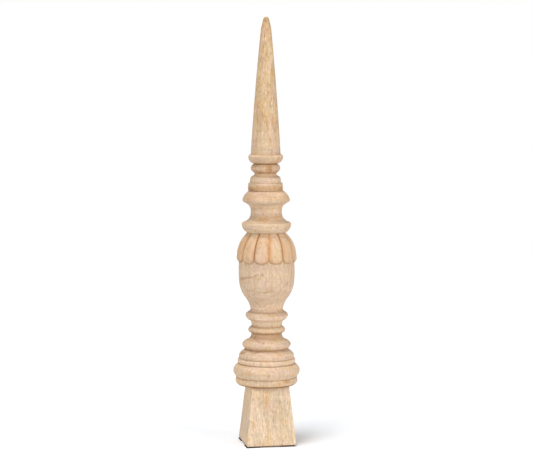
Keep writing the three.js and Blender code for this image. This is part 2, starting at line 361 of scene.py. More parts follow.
# Single marks in the wood: degrees round the axis from the front to the right, height, half the width, half
# the height, degrees by which the right end is raised, colour and strength
woodMarks = [
    # the petals
    (-20, 337, 11, 20, 0, "pink", 0.60), (10, 335, 11, 20, 0, "straw", 0.60),
    (39, 345, 10, 18, 0, "orange", 0.35), (-50, 345, 10, 18, 0, "orange", 0.30),
    (-82, 345, 16, 26, 0, "amber", 0.32),
    # the bulb, with its arc and its upright line
    (-71, 295, 15, 4, 9, "brown", 0.58), (-49, 299, 16, 2.8, 9, "brown", 0.52),
    (-34, 303, 7, 3.4, 25, "brown", 0.45), (-19, 305, 3.6, 4.6, 20, "brown", 0.55),
    (-11, 290, 2.2, 15, 0, "brown", 0.42), (-22, 288, 5, 10, 0, "pink", 0.60),
    (-7, 289, 4, 11, 0, "pink", 0.60), (-7, 274.7, 17, 1.5, 0, "brown", 0.62),
    (-50, 276, 15, 1.2, -4, "brown", 0.45), (26, 273, 15, 1.3, 6, "brown", 0.45),
    (-59, 264.4, 1.9, 1.7, 0, "brown", 0.75), (29, 284, 3, 2.4, 35, "brown", 0.40),
    (37, 288, 2.2, 5.5, -18, "brown", 0.40), (21, 276, 5, 1.6, 24, "brown", 0.40),
    (42, 306, 3, 8, 0, "orange", 0.35), (20, 311, 8, 4, 30, "pink", 0.45),
    # the bulb's stem and the bead under it
    (28, 244, 10, 8, -8, "orange", 0.50), (38, 247, 8, 8, 0, "straw", 0.60),
    (12, 226, 8, 2.4, 4, "orange", 0.40),
    # the low neck with its knot, the narrow roll and the sloped ring
    (-18.4, 183, 2.8, 1.9, 10, "brown", 0.85), (-36, 185.4, 12, 1.6, -10, "brown", 0.45),
    (-52, 188, 6, 2, 0, "brown", 0.40), (38, 195, 6, 3.5, -20, "brown", 0.45),
    (-62, 175, 15, 8, 0, "orange", 0.40), (25, 176, 14, 7, 0, "pink", 0.50),
    (-80, 163, 14, 4, 6, "brown", 0.75), (-38, 166.2, 14, 2.6, 3, "brown", 0.55),
    (0, 197.8, 16, 1.6, 0, "brown", 0.50), (-58, 170, 12, 5, 0, "amber", 0.25),
    # the wide roll and the disc
    (-45, 132, 14, 6, 0, "orange", 0.55), (44, 128, 6, 6, 0, "orange", 0.50),
    (31, 116, 12, 4.6, -6, "amber", 0.85), (14, 112, 15, 6, 0, "orange", 0.55),
    (14.6, 112, 0.8, 7, 0, "brown", 0.65), (-59, 117.6, 9, 2.8, 0, "amber", 0.80),
    (-72, 113, 12, 5, 0, "orange", 0.60), (-40, 107, 14, 2.2, 0, "brown", 0.60),
    (8, 113, 9, 2.4, 3, "orange", 0.40),
    # the collar, the top bead and the lower ring
    (1, 488.5, 10, 8, 0, "amber", 0.95), (3, 486, 7, 4, 0, "brown", 0.65),
    (-38, 480, 8, 3.5, 0, "brown", 0.50), (33, 503, 7, 4.5, 30, "amber", 0.50),
    (-32, 456, 7, 4, 10, "orange", 0.50), (18, 456, 7, 4, -10, "orange", 0.50),
    (-66, 451, 8, 4, 0, "brown", 0.45), (48, 452, 9, 5, 0, "amber", 0.45),
    # the flange, the cove and the lip
    (-60, 438, 8, 6, 0, "orange", 0.45), (46, 384, 10, 8, 0, "amber", 0.36),
    (-22, 400, 17, 7, 0, "orange", 0.90), (28, 402, 12, 8, 0, "orange", 0.90),
    (44, 419, 9, 10, 0, "orange", 0.85), (-60, 418, 8, 9, 0, "orange", 0.60),
    (-12, 385, 24, 7, 0, "straw", 0.45),
    # the foot
    (-9.5, 84, 6.5, 28, 0, "orange", 0.80), (-10, 88, 2.4, 16, 0, "amber", 0.40),
    # the large mark on the foot's left face, at -90, is painted light
    (-90, 88, 50, 52, 0, "warm", 0.90), (-8, 46, 3.4, 26, 0, "orange", 0.34),
    (-8, 10, 4.8, 15, 0, "orange", 0.80), (26, 79, 1.2, 7, -12, "brown", 0.50),
    (-40, 84, 1.2, 5, 10, "brown", 0.50), (-47, 84, 1.1, 6, 0, "brown", 0.45),
    (-89, 22, 3, 18, 0, "orange", 0.50),
    # the back
    (150, 300, 4, 3, 15, "brown", 0.60), (120, 280, 14, 2, -12, "brown", 0.35),
    (205, 130, 12, 3, 8, "orange", 0.45), (178, 52, 3.6, 40, 0, "orange", 0.45),
    (95, 60, 2.6, 30, 3, "orange", 0.40), (240, 176, 13, 6, 0, "pink", 0.45),
]
markShape = {
    "fromAxis": 50, "halfDepth": 60,  # where a mark's middle lies, and how far it goes in
    "softEdge": 1.15, "fullAt": 0.78,
}


def makeWood(look):
    wood, tree = newMaterial("turnedWood")
    place = addNode(tree, "ShaderNodeTexCoord").outputs["Object"]
    inMillimetres = stretched(tree, place, (1000, 1000, 1000))
    height = separate(tree, inMillimetres)[2]
    # the four attributes: crease and neck are painted shade with some finish gathered there, carved is
    # painted shade beside the grooves, and the last is painted light
    crease, neck, carved, worn = (
        Field(tree, addNode(tree, "ShaderNodeAttribute", attribute_name=name).outputs["Fac"])
        for name in ("crease", "neck", "carved", "worn"))

    onPetals = carved.above(0.01)
    onSpire = stepped(tree, height, *look["spireBottom"])
    overFoot = stepped(tree, height, *look["footEdge"])
    turned = overFoot * (1 - onSpire)
    onBulb = stepped(tree, height, *look["bulbBottom"]) * (1 - stepped(tree, height, *look["bulbTop"]))
    lathe = turned * (1 - onPetals) * (1 - onBulb * look["bulbKeeps"])
    parts = {"turned": turned, "lathe": lathe, "petals": onPetals, "spire": onSpire}

    def showing(shares):
        total = shares.get("everywhere", 0)
        for part, share in shares.items():
            if part != "everywhere":
                total = parts[part] * share + total
        return total

    def grainNoise(name, where):
        one = grain[name]
        return noise(tree, stretched(tree, where, one["stretch"]), one["scale"], one.get("detail", 2),
                     one.get("roughness", 0.5))

    def grainShare(name, where):
        return stepped(tree, grainNoise(name, where)["Fac"], *grain[name]["light"])

    # The places, pushed about by a noise. The last mapping changes nothing, but the many textures that
    # start from it would otherwise need more room than the renderer has, and the wood would come out black
    def pushedAbout(name):
        push = vectorSums(tree, "SUBTRACT", grainNoise(name, inMillimetres)["Color"], (0.5, 0.5, 0.5))
        push = vectorSums(tree, "MULTIPLY", push, grain[name]["reach"])
        return stretched(tree, vectorSums(tree, "ADD", inMillimetres, push), (1, 1, 1))

    def addTones(colour, direction):
        amount = showing(tones[direction + "Shows"])
        for tone, scale, low, high, most, shift in tones[direction]:
            moved = stretched(tree, grainPlace, tones[direction + "Stretch"], location=(shift, 0, 0))
            patch = stepped(tree, noise(tree, moved, scale)["Fac"], low, high)
            colour = colourMix(tree, patch * most * amount, colour, look[tone])
        return colour

    # streaks and patches, upright as the grain runs, and level where the lathe cut across it
    grainPlace = pushedAbout("wander")
    streak = between(grain["streak"]["calmTo"], grainShare("streak", grainPlace),
                     1 - lathe * grain["streak"]["calmed"])
    colour = colourMix(tree, streak, look["cream"], look["tan"])
    colour = addTones(colour, "upright")
    colour = colourMix(tree, look["evenShare"] - onSpire * look["evenShare"], colour, look["even"])
    colour = addTones(colour, "level")

    # growth rings, faint, and clearest along the spire
    fromPith = stretched(tree, grainPlace, look["ringStretch"], location=look["pith"])
    rings = addNode(tree, "ShaderNodeTexWave",
                    {"Vector": fromPith, "Scale": look["waveLength"] / look["ringWidth"], "Distortion": 2.2,
                     "Detail": 2.0, "Detail Scale": 1.6, "Detail Roughness": 0.55},
                    wave_type="RINGS", rings_direction="Z", wave_profile="SAW")
    ringEdge = stepped(tree, rings.outputs["Fac"], *look["ringEdge"])
    colour = colourMix(tree, ringEdge * showing(look["ringShare"]), colour, look["late"], "MULTIPLY")

    # wavy lines across the grain, in patches
    acrossGrain = stretched(tree, inMillimetres, look["figureStretch"], rotation=look["figureTurn"])
    figure = addNode(tree, "ShaderNodeTexWave",
                     {"Vector": acrossGrain, "Scale": 0.075, "Distortion": 7.0, "Detail": 2.0,
                      "Detail Scale": 0.11},
                     wave_type="BANDS", bands_direction="DIAGONAL")
    figured = stepped(tree, figure.outputs["Fac"], *look["figureEdge"]) * grainShare("figured", inMillimetres)
    colour = colourMix(tree, figured * look["figureShare"], colour, look["late"], "MULTIPLY")

    # single marks, with ragged edges
    raggedPlace = pushedAbout("ragged")
    for *shape, tone, strength in woodMarks:
        colour = colourMix(tree, markShare(tree, raggedPlace, shape, strength), colour, look[tone])

    # fine grain, from the lathe's level lines to the spire's long strands
    fine = {name: grainNoise(name, grainPlace)["Fac"] for name, one in grain.items() if "shade" in one}
    for name, value in fine.items():
        tone = shade(tree, value, *grain[name]["shade"])
        colour = colourMix(tree, showing(grain[name]["shows"]), colour, tone, "MULTIPLY")
    alongPores = stretched(tree, grainPlace, look["poreStretch"])
    poreCells = addNode(tree, "ShaderNodeTexVoronoi", {"Vector": alongPores, "Scale": 0.30})
    pores = 1 - stepped(tree, poreCells.outputs["Distance"], *look["poreEdge"])
    pores = pores * grainShare("poreAreas", inMillimetres)
    colour = colourMix(tree, pores * look["poreShare"], colour, look["pore"], "MULTIPLY")

    # the finish is warmer on the petals and the spire, and paler on the foot; the tints beside the grooves
    # and in the necks are painted shade, and those on the foot's edges and in the pale bands are painted
    # light
    for amount, tint in ((onPetals, "petalTint"), (carved, "grooveTint"), (onSpire, "spireTint"),
                         (1 - overFoot, "footTint"), (neck, "stain"), (worn, "paintedLightTint")):
        colour = colourMix(tree, amount, colour, look[tint], "MULTIPLY")
    # painted shade in the creases and cuts, partly finish gathered there
    colour = colourMix(tree, crease * look["creaseStrength"], colour, look["creaseColour"])

    relief = Field(tree, fine["fibre"]) - pores * look["poreDepth"]
    bump = addNode(tree, "ShaderNodeBump",
                   {"Height": relief, "Strength": look["bumpStrength"], "Distance": look["bumpHeight"]})
    smoothest = look["roughness"] - look["roughnessVaries"]
    roughest = look["roughness"] + look["roughnessVaries"]
    endMaterial(tree, {"Base Color": colour, "Normal": bump.outputs[0], "Specular IOR Level": 0.3,
                       "Roughness": shade(tree, fine["fibre"], smoothest, roughest)})
    return wood


# The mark's strength at its middle, and 0 from its edge on
def markShare(tree, place, shape, strength):
    turnDegrees, z, halfWidth, halfHeight, riseDegrees = shape
    turn = math.radians(turnDegrees)
    fromAxis = markShape["fromAxis"]
    middle = (fromAxis * math.sin(turn), -fromAxis * math.cos(turn), z)
    reach = [half * markShape["softEdge"] for half in (halfWidth, markShape["halfDepth"], halfHeight)]
    inMark = addNode(tree, "ShaderNodeMapping",
                     {"Vector": place, "Location": middle, "Rotation": (0, -math.radians(riseDegrees), turn),
                      "Scale": reach}, vector_type="TEXTURE")
    inside = addNode(tree, "ShaderNodeTexGradient", {"Vector": inMark.outputs[0]}, gradient_type="SPHERICAL")
    share = addNode(tree, "ShaderNodeMapRange",
                    {"Value": inside.outputs["Fac"], "From Max": markShape["fullAt"], "To Max": strength},
                    interpolation_type="SMOOTHSTEP")
    return share.outputs[0]


wood = makeWood(woodLook)
print("wood mixed")


# The turned profile, in millimetres, as in the solids, with some seams and radii up to 1.4 mm closer
# to the photo

turning = {
    "disc": {"footRadius": 50.4, "rimRadius": 54.4, "rim": 115, "top": 119, "topRadius": 53.9, "swell": 1.9},
    "wideRoll": {"bottomRadius": 53.3, "topRadius": 50.9, "top": 143, "swell": 6.5},
    "band": {"radius": 49.8, "top": 152.3, "swell": 1.3},
    "slopedRing": {"radius": 48.4, "shoulder": 159, "top": 168.4, "topRadius": 37.4, "swell": 1.0},
    "narrowRoll": {"bottomRadius": 38.4, "topRadius": 37.6, "top": 183.5, "swell": 4.9},
    "lowNeck": {"radius": 26.7, "top": 197.3, "hollow": 3.2},
    "lowBead": {"bottomRadius": 28.6, "topRadius": 29.8, "top": 207.6, "swell": 3.7},
    "midNeck": {"bottomRadius": 26.7, "bottom": 209.4, "topRadius": 28.2, "top": 217.8, "hollow": 0.3},
    "highBead": {"bottomRadius": 33.9, "bottom": 221.9, "topRadius": 31.2, "top": 235.1, "swell": 5},
    "bulb": {"stemRadius": 28.2, "stem": 239, "waistRadius": 40.1, "waist": 263, "hollow": 1.8,
             "bodyRadius": 48.7, "body": 289.5, "bodySwell": 1.7, "shoulderRadius": 48.9, "shoulder": 319,
             "shoulderSwell": 0.6},
    "lip": {"underRadius": 33.2, "under": 375, "footRadius": 34.6, "foot": 374.7, "rimRadius": 43.4,
            "rim": 389.7, "swell": 2.3, "topRadius": 38, "top": 393, "topSwell": 1},
    "cove": {"radius": 27.3, "middle": 411, "top": 428.4, "topRadius": 40.2, "power": 3, "rows": 18},
    "flange": {"rimRadius": 41.8, "rim": 431.3, "top": 447.8, "topRadius": 30, "swell": 1.9},
    "lowerRing": {"bottomRadius": 30.5, "topRadius": 29.9, "top": 461.1, "swell": 0.2},
    "upperRing": {"bottomRadius": 27, "shoulderRadius": 25.6, "shoulder": 471.6, "topRadius": 20.5,
                  "top": 474.8, "swell": 0.6},
    "highNeck": {"radius": 19.2, "top": 478.6, "hollow": 0.6},
    "topBead": {"radius": 19.8, "top": 495.7, "swell": 6.3},
    "collar": {"bottomRadius": 24, "rimRadius": 30, "rim": 509, "topRadius": 28.6, "top": 510.6,
               "swell": 2.3},
    "spire": {"baseRadius": 26.1, "upperRadius": 9.2, "upper": 727, "swell": 1.1, "pointRadius": 5.4,
              "point": 743.6, "pointSwell": 0.3, "roundOff": 1.7, "top": 750},
    "cutDepth": 1.0, "cutHalfWidth": 0.5,  # the narrow cut between two mouldings
    "arris": 0.5, "sharpFrom": math.radians(22),  # how far a corner is rubbed down, and which ones are
    # between the rows of points along each stretch
    "rowSpacing": 1.9, "topBeadSpacing": 1.5, "neckSpacing": 2.5, "broadSpacing": 3, "shoulderSpacing": 4,
    "spireSpacing": 6.5, "pointSpacing": 1.2,
}


# A line drawn with a turner's moves, radius first and then height
class Profile:
    def __init__(self, radius, height):
        self.points = [Vector((radius, height))]

    def to(self, radius, height):
        self.points.append(Vector((radius, height)))
        return self

    # a round stretch that stands out by the swell, or dips in where it is negative
    def bow(self, radius, height, swell, spacing=turning["rowSpacing"]):
        start = self.points[-1]
        end = Vector((radius, height))
        out = Vector((end.y - start.y, start.x - end.x)).normalized()
        middle = (start + end) / 2 + out * 2 * swell
        steps = max(3, round((end - start).length / spacing))
        for step in range(1, steps + 1):
            t = step / steps
            self.points.append(start * (1 - t) ** 2 + middle * 2 * t * (1 - t) + end * t ** 2)
        return self

    # a narrow cut between two mouldings, and up from it to where the upper one begins
    def cut(self, radiusBelow, radiusAbove, height, rise=turning["cutHalfWidth"]):
        self.to(min(radiusBelow, radiusAbove) - turning["cutDepth"], height)
        return self.to(radiusAbove, height + rise)

    # every sharp corner is rubbed down by the same small amount, as sandpaper does
    def eased(self):
        reach = turning["arris"]
        found = [self.points[0]]
        for before, corner, after in zip(self.points, self.points[1:], self.points[2:]):
            inward = corner - before
            outward = after - corner
            if abs(inward.angle(outward)) < turning["sharpFrom"]:
                found.append(corner)
                continue
            start = corner - inward.normalized() * min(reach, inward.length * 0.4)
            end = corner + outward.normalized() * min(reach, outward.length * 0.4)
            found += [start, (start + corner * 2 + end) / 4, end]
        return found + [self.points[-1]]


def drawBase(t):
    lift = t["cutHalfWidth"]
    disc, wideRoll, band, slopedRing = t["disc"], t["wideRoll"], t["band"], t["slopedRing"]
    narrowRoll, lowNeck, lowBead = t["narrowRoll"], t["lowNeck"], t["lowBead"]
    midNeck, highBead, bulb = t["midNeck"], t["highBead"], t["bulb"]
    line = Profile(disc["footRadius"], foot["top"])
    line.bow(disc["rimRadius"], disc["rim"], disc["swell"]).to(disc["topRadius"], disc["top"] - lift)
    line.cut(disc["topRadius"], wideRoll["bottomRadius"], disc["top"])
    line.bow(wideRoll["topRadius"], wideRoll["top"] - lift, wideRoll["swell"])
    line.cut(wideRoll["topRadius"], band["radius"], wideRoll["top"])
    line.bow(band["radius"], band["top"] - lift, band["swell"])
    line.cut(band["radius"], slopedRing["radius"], band["top"])
    line.to(slopedRing["radius"], slopedRing["shoulder"])
    line.bow(slopedRing["topRadius"], slopedRing["top"], slopedRing["swell"])
    line.cut(slopedRing["topRadius"], narrowRoll["bottomRadius"], slopedRing["top"] + lift, 2 * lift)
    line.bow(narrowRoll["topRadius"], narrowRoll["top"], narrowRoll["swell"])
    line.bow(lowNeck["radius"], lowNeck["top"] - lift, -lowNeck["hollow"])
    line.to(lowBead["bottomRadius"], lowNeck["top"])
    line.bow(lowBead["topRadius"], lowBead["top"], lowBead["swell"])
    line.to(midNeck["bottomRadius"], midNeck["bottom"])
    line.bow(midNeck["topRadius"], midNeck["top"], -midNeck["hollow"], t["neckSpacing"])
    line.to(highBead["bottomRadius"], highBead["bottom"])
    line.bow(highBead["topRadius"], highBead["top"], highBead["swell"])
    line.to(bulb["stemRadius"], bulb["stem"])
    line.bow(bulb["waistRadius"], bulb["waist"], -bulb["hollow"], t["broadSpacing"])
    line.bow(bulb["bodyRadius"], bulb["body"], bulb["bodySwell"], t["broadSpacing"])
    line.bow(bulb["shoulderRadius"], bulb["shoulder"], bulb["shoulderSwell"], t["shoulderSpacing"])
    return line.eased()


def coveRadius(t, z):
    cove, lip = t["cove"], t["lip"]
    low = z < cove["middle"]
    reach = cove["middle"] - lip["top"] if low else cove["top"] - cove["middle"]
    edge = lip["topRadius"] if low else cove["topRadius"]
    return cove["radius"] + (edge - cove["radius"]) * (abs(z - cove["middle"]) / reach) ** cove["power"]


def drawTop(t):
    lift = t["cutHalfWidth"]
    lip, cove, flange, lowerRing = t["lip"], t["cove"], t["flange"], t["lowerRing"]
    upperRing, highNeck, topBead = t["upperRing"], t["highNeck"], t["topBead"]
    collar, spire = t["collar"], t["spire"]
    line = Profile(lip["underRadius"], lip["under"]).to(lip["footRadius"], lip["foot"])
    line.bow(lip["rimRadius"], lip["rim"], lip["swell"]).bow(lip["topRadius"], lip["top"], lip["topSwell"])
    for step in range(1, cove["rows"] + 1):
        closerAtEdges = 0.5 - 0.5 * math.cos(math.pi * step / cove["rows"])
        z = between(lip["top"], cove["top"], closerAtEdges)
        line.to(coveRadius(t, z), z)
    line.to(flange["rimRadius"], flange["rim"]).bow(flange["topRadius"], flange["top"], flange["swell"])
    line.cut(flange["topRadius"], lowerRing["bottomRadius"], flange["top"] + lift)
    line.bow(lowerRing["topRadius"], lowerRing["top"], lowerRing["swell"], t["neckSpacing"])
    line.to(upperRing["bottomRadius"], lowerRing["top"])
    line.bow(upperRing["shoulderRadius"], upperRing["shoulder"], upperRing["swell"], t["neckSpacing"])
    line.to(upperRing["topRadius"], upperRing["top"])
    line.bow(highNeck["radius"], highNeck["top"], -highNeck["hollow"])
    line.bow(topBead["radius"], topBead["top"], topBead["swell"], t["topBeadSpacing"])
    line.to(collar["bottomRadius"], topBead["top"] + lift)
    line.bow(collar["rimRadius"], collar["rim"], collar["swell"]).to(collar["topRadius"], collar["top"])
    line.to(spire["baseRadius"], collar["top"])
    line.bow(spire["upperRadius"], spire["upper"], spire["swell"], t["spireSpacing"])
    line.bow(spire["pointRadius"], spire["point"], spire["pointSwell"], t["broadSpacing"])
    line.bow(0, spire["top"], spire["roundOff"], t["pointSpacing"])
    return line.eased()


foot = {
    "side": 88, "topSide": 66, "bottom": 2, "top": 106,
    # the third is the width of the painted highlight along the foot's upright edges
    "edgeRadius": 1.3, "bottomEase": 1.2, "wornEdge": 4.0,
    "lowEdge": 2, "lowEdgeWidth": 2.5, "lowEdgeHighlight": 0.8,  # the painted highlight along the bottom edge
    "edgeShade": 1.6, "discLine": 3.3, "discLineFade": 1.2,  # the painted shadow under the foot's edge, and the painted shade under the disc
    "rings": (0, 0.35, 0.7, 0.93),  # of points on the underside, from the middle out
    "topRings": (0.12, 0.4, 0.7),  # and on the top, from the square out to the disc
    "rows": 24,
}

# Each of these is an input of the tree that carves the finial
petals = {
    "count": 12,
    "columns": 21,  # of faces across each petal
    "columnPull": 0.6,  # how far they are drawn together at the grooves
    "turn": math.radians(-5.8),
    "lean": math.radians(3.4), "leanAt": math.radians(-122),  # the grooves' tops lean, on the front left
    "leanPower": 3.0,
    "top": 375.0, "tipEnd": 323.2, "cuspRise": 10.0, "endShape": 2.15, "endVariation": 0.9,
    "formTop": 377.0, "shoulder": 321.0, "grooveRadius": 49.2, "drawnIn": 20.0, "drawnPower": 2.55,
    "proud": 3.4, "proudAtLip": 1.6, "fullFrom": 0.35, "crown": 0.5,
    "endStep": 0.9, "endSoftness": 6.0, "sideSoftness": 4.2, "endDrop": 0.4,
    "grooveCut": 1.0, "grooveHalfWidth": 1.0, "underCut": 0.3, "underCutHeight": 1.4,
    # one groove near the front is shallow and broad: its half width in petals, and how it differs
    "shallowReach": 0.55, "shallowSoftness": 1.3, "shallowRaised": 0.35, "shallowUncut": 0.7,
    "shallowUnlined": 0.75, "shallowTintWidth": 0.7, "shallowTint": 0.3,
    # the dark line round each petal, painted shade with some finish in the cut, and the warmer colour beside
    # it, painted shade
    "endLineWidth": 1.8, "endLine": 0.7, "endLineVaries": 0.3,
    "sideLineWidth": 1.44, "sideLine": 0.45, "sideLineAtLip": 0.7,
    "tintWidth": 5.5, "leastTint": 0.02, "sideTint": 0.7, "endTint": 0.6,
    "seed": 7,
}
petalRows = {"onPetals": 27, "bunching": 0.72, "below": 6, "belowBunching": 0.7}

# How far the surface strays from true, in millimetres, and the size of its unevenness
unevenness = {"turnedWobble": 0.3, "carvedWobble": 1.1, "wobbleScale": 0.09, "wobbleFullRadius": 10.0}

# How far the turned parts stand off the axis, to the right, as the photograph shows: height, then offset
centreDrift = [
    (106, 0), (183, 0), (205, 0.5), (235, 0.4), (300, 0.3), (390, -0.1),
    (431, -0.6), (447, -0.8), (449, -1.9), (490, -1.7), (510, -1.5), (620, -1.2), (750, -0.6),
]
footDrift = 1.5

# Bands round the wood, each with its height, half of its width, and how strong it is
bands = {
    # painted shade in the necks and hollows and on the collar's lower bowl, with some finish gathered in the
    # necks
    "stains": [
        (480.5, 6.5, 1.0), (452, 8, 0.95), (494.5, 3.5, 1.0), (487, 9, 0.25), (502, 4.5, 0.4), (192, 8, 0.8),
        (198.5, 4, 1.0), (209.5, 2.5, 0.5), (171, 2.5, 0.5), (107, 4, 1.0), (438, 8, 0.45), (748, 45, 0.5)],
    # painted light: lighter bands where shade falls under the lip, in the cove, under the beads and on the
    # foot under the disc, and a painted highlight on the collar's rim
    "pale": [
        (509, 2, 0.6), (476, 3, 1.0), (419, 11, 1.0), (394, 6, 0.5), (376, 5, 1.0), (243, 10, 0.6),
        (219, 10, 1.0), (186, 4, 0.35), (148, 4.5, 1.0), (95, 18, 0.6)],
    # where the dark line in a hollow is weaker
    "faint": [
        (511, 3, 0.5), (475.5, 3.5, 1.0), (461, 2, 0.5), (447.5, 3, 0.6), (237, 3, 0.6), (220, 5, 0.9),
        (168.5, 2.5, 0.6)],
}

# How wide a hollow is felt along the profile, and how deep it is where its painted shade is full
lineHollow = {"reach": 2.6, "fullDepth": 1.3}
shadeHollow = {"reach": 4.5, "fullDepth": 2.2}
# the share of a hollow's depth that becomes painted shade in the neck tint
hollowShade = 0.3


def bandAt(name, z):
    return max(strength * max(0, 1 - (abs(z - middle) / reach) ** 2)
               for middle, reach, strength in bands[name])


def driftAt(z):
    for (lowZ, lowDrift), (highZ, highDrift) in zip(centreDrift, centreDrift[1:]):
        if z <= highZ:
            return between(lowDrift, highDrift, max(0, z - lowZ) / (highZ - lowZ))
    return centreDrift[-1][1]


# One row for each ring of points: where it is, and how far it follows the foot's square or the petals
def finialRows():
    rows = []

    def add(radius, z, square=0.0, twist=1.0, petal=0.0, down=0.0, dark=0.0):
        rows.append({"radius": radius, "z": z, "square": square, "twist": twist, "petal": petal, "down": down,
                     "dark": dark})

    half = foot["side"] / 2
    topHalf = foot["topSide"] / 2
    ease = foot["bottomEase"]
    for share in foot["rings"]:
        add(half * share, foot["bottom"], 1, 0)
    # the bottom edge's rows carry the painted shadow of the gap under the foot
    add(half - ease, foot["bottom"], 1, 0, dark=foot["edgeShade"])
    add(half - ease * 0.3, foot["bottom"] + ease * 0.3, 1, 0, dark=foot["edgeShade"])
    for step in range(foot["rows"] + 1):
        share = step / foot["rows"]
        add(between(half, topHalf, share), between(foot["bottom"] + ease, foot["top"], share), 1, 0)
    # the top of the foot, under the disc, carries painted shade
    for share in foot["topRings"]:
        add(between(topHalf, turning["disc"]["footRadius"], share), foot["top"], 1 - share, 0, dark=1.0)

    # the columns of the square turn little by little to where the petals need them
    lowPart = drawBase(turning)
    for point in lowPart:
        overFoot = point.y - foot["top"]
        # the disc's lowest edge carries a painted shade line, fading upward
        discLine = max(0, foot["discLine"] - overFoot * foot["discLineFade"])
        twist = min(1, overFoot / (turning["band"]["top"] - foot["top"]))
        add(point.x, point.y, 0, twist, dark=min(foot["edgeShade"], discLine))
    lastRadius, lastHeight = lowPart[-1]
    for step in range(1, petalRows["below"] + 1):
        share = (step / petalRows["below"]) ** petalRows["belowBunching"]
        add(lastRadius, lastHeight, petal=1, down=2 - share)
    for step in range(petalRows["onPetals"] + 1):
        share = (1 - step / petalRows["onPetals"]) ** petalRows["bunching"]
        add(petals["grooveRadius"], 0, petal=1, down=share)
    for point in drawTop(turning):
        add(point.x, point.y)
    return rows


# The same sums as the tree makes at the middle of a petal, to know where its rows lie
def petalRowPlace(row):
    if row["down"] > 1:
        return row["radius"], between(petals["tipEnd"], row["z"], row["down"] - 1)
    z = between(petals["top"], petals["tipEnd"], row["down"])
    rise = max(0, (z - petals["shoulder"]) / (petals["formTop"] - petals["shoulder"]))
    overGroove = 2
    return petals["grooveRadius"] - petals["drawnIn"] * rise ** petals["drawnPower"] + overGroove, z


# How deep each row lies in a hollow of the profile, within a reach to either side of it
def hollows(places, reach, fullDepth):
    along = [0.0]
    for (r0, z0), (r1, z1) in zip(places, places[1:]):
        along.append(along[-1] + math.hypot(r1 - r0, z1 - z0))
    found = []
    for index, (radius, z) in enumerate(places):
        total = 0.0
        weight = 0.0
        for side in (-1, 1):
            other = index
            while 0 < other < len(places) - 1 and abs(along[other] - along[index]) < reach:
                step = abs(along[other + side] - along[other])
                other += side
                near = max(0.0, 1 - abs(along[other] - along[index]) / (reach * 1.5))
                total += (places[other][0] - radius) * near * step
                weight += near * step
        found.append(max(0.0, min(1.0, total / max(weight, 1e-6) / fullDepth)))
    return found


def drawFinialProfile(rows):
    places = [petalRowPlace(row) if row["petal"] else (row["radius"], row["z"]) for row in rows]
    values = {name: [row[name] for row in rows] for name in ("square", "twist", "petal", "down")}
    values.update({"drift": [], "rowCrease": [], "rowNeck": [], "rowPale": []})
    for row, (_, z), lineDepth, stainDepth in zip(
            rows, places, hollows(places, **lineHollow), hollows(places, **shadeHollow)):
        byPetals = petals["tipEnd"] < z < petals["formTop"] + 2
        line = 0 if byPetals else lineDepth * (1 - bandAt("faint", z))
        turned = 1 - row["petal"]
        values["drift"].append(between(driftAt(z), footDrift, row["square"]))
        # painted shade in the lines and necks, with some finish gathered there, and painted light in the pale
        # bands
        values["rowCrease"].append(max(row["dark"], line))
        values["rowNeck"].append(max(bandAt("stains", z), stainDepth * hollowShade) * turned)
        values["rowPale"].append(bandAt("pale", z) * turned)
    drawn = addMesh("finialProfile", [(row["radius"], 0, row["z"]) for row in rows],
                    [(index, index + 1) for index in range(len(rows) - 1)])
    for name, numbers in values.items():
        attribute = drawn.data.attributes.new(name, "FLOAT", "POINT")
        attribute.data.foreach_set("value", numbers)
    return drawn


# The foot's place for a column: a square with rubbed corners, and columns drawn together at the corners
def squarePlace(column, columns, half, edgeRadius):
    place = column / (columns / 4) + 0.5
    side = place.floor()
    along = ((place - side) * 2 - 1) * (math.pi / 2)
    across = half * along.sin()
    rounded = (half * 1.0).atMost(edgeRadius)
    flat = half - rounded
    inner = across.atLeast(0 - flat).atMost(flat)
    overX = across - inner
    length = (overX * overX + rounded * rounded) ** 0.5
    scale = rounded / length.atLeast(1e-6)
    x = inner + overX * scale
    y = 0 - (flat + rounded * scale)
    turn = side * (math.pi / 2)
    angle = turn - math.pi / 2 + along.sin().arcTan()
    return x * turn.cos() - y * turn.sin(), x * turn.sin() + y * turn.cos(), angle


